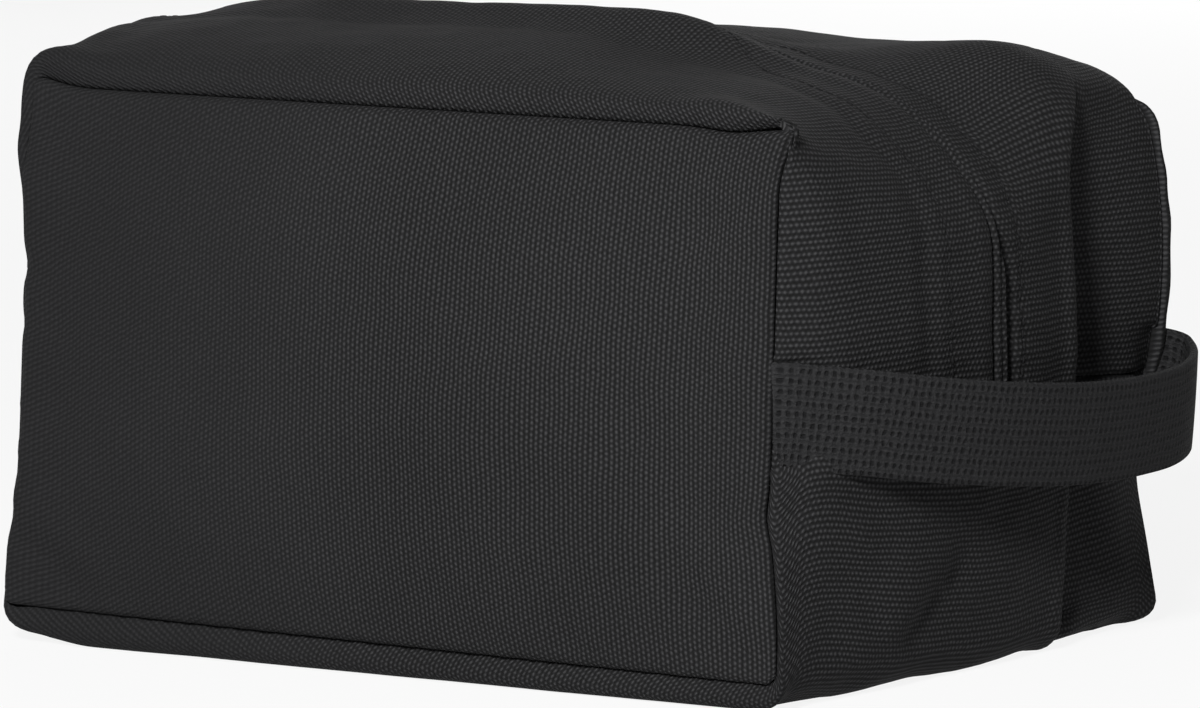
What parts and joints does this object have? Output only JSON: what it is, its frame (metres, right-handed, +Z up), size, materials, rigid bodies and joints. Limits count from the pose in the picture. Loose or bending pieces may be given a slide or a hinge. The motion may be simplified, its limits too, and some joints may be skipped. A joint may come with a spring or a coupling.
{
  "type": "sandbag",
  "caption": "Boxy black canvas sandbag with a zip over the top, one webbing loop handle on its end, and a sealed sand-filled liner inside.",
  "frame": {"origin": "on the floor under the middle of the bag", "axes": "+X to the end with the handle, -Y to the front panel, +Z up"},
  "size_m": [0.2845, 0.1688, 0.1519],
  "materials": {
    "canvas": "matte",
    "binding": "matte",
    "webbing": "matte",
    "thread": "matte",
    "zip_tape": "matte",
    "zip_coil": "satin",
    "black_metal": "satin",
    "liner_film": "satin",
    "sand": "matte"
  },
  "bodies": {
    "shell": {"front_panel": "canvas", "back_panel": "canvas", "zip_strip_front": "canvas", "zip_strip_rear": "canvas", "base_gusset": "canvas", "front_seam_binding": "binding", "back_seam_binding": "binding", "cross_seam_tape_left": "binding", "cross_seam_tape_right": "binding", "zip_tape_front": "zip_tape", "zip_tape_rear": "zip_tape", "zip_coil_front": "zip_coil", "zip_coil_rear": "zip_coil", "zip_stop_left": "black_metal", "zip_stop_right": "black_metal", "lip_stitching_front": "thread", "lip_stitching_rear": "thread", "handle_end_front": "webbing", "handle_end_rear": "webbing", "liner_front": "liner_film", "liner_rear": "liner_film", "sand_fill": "sand"},
    "slider": {"zip_slider": "black_metal"},
    "pull": {"slider_pull": "black_metal"},
    "handle": {"handle_loop": "webbing"}
  },
  "joints": [
    {"name": "slider_travel", "type": "slide", "parent": "shell", "child": "slider", "axis": [1, 0, 0], "range_m": [0, 0.094]},
    {"name": "pull_swing", "type": "hinge", "parent": "slider", "child": "pull", "pos_m": [-0.064, 0, 0.14605], "axis": [0, -1, 0], "range_deg": [0, 170]},
    {"name": "handle_swing", "type": "hinge", "parent": "shell", "child": "handle", "pos_m": [0.1195, 0, 0.06517], "axis": [0, -0.9985, 0.0544], "range_deg": [-20, 50], "stiffness_Nm_per_rad": 0.02}
  ]
}
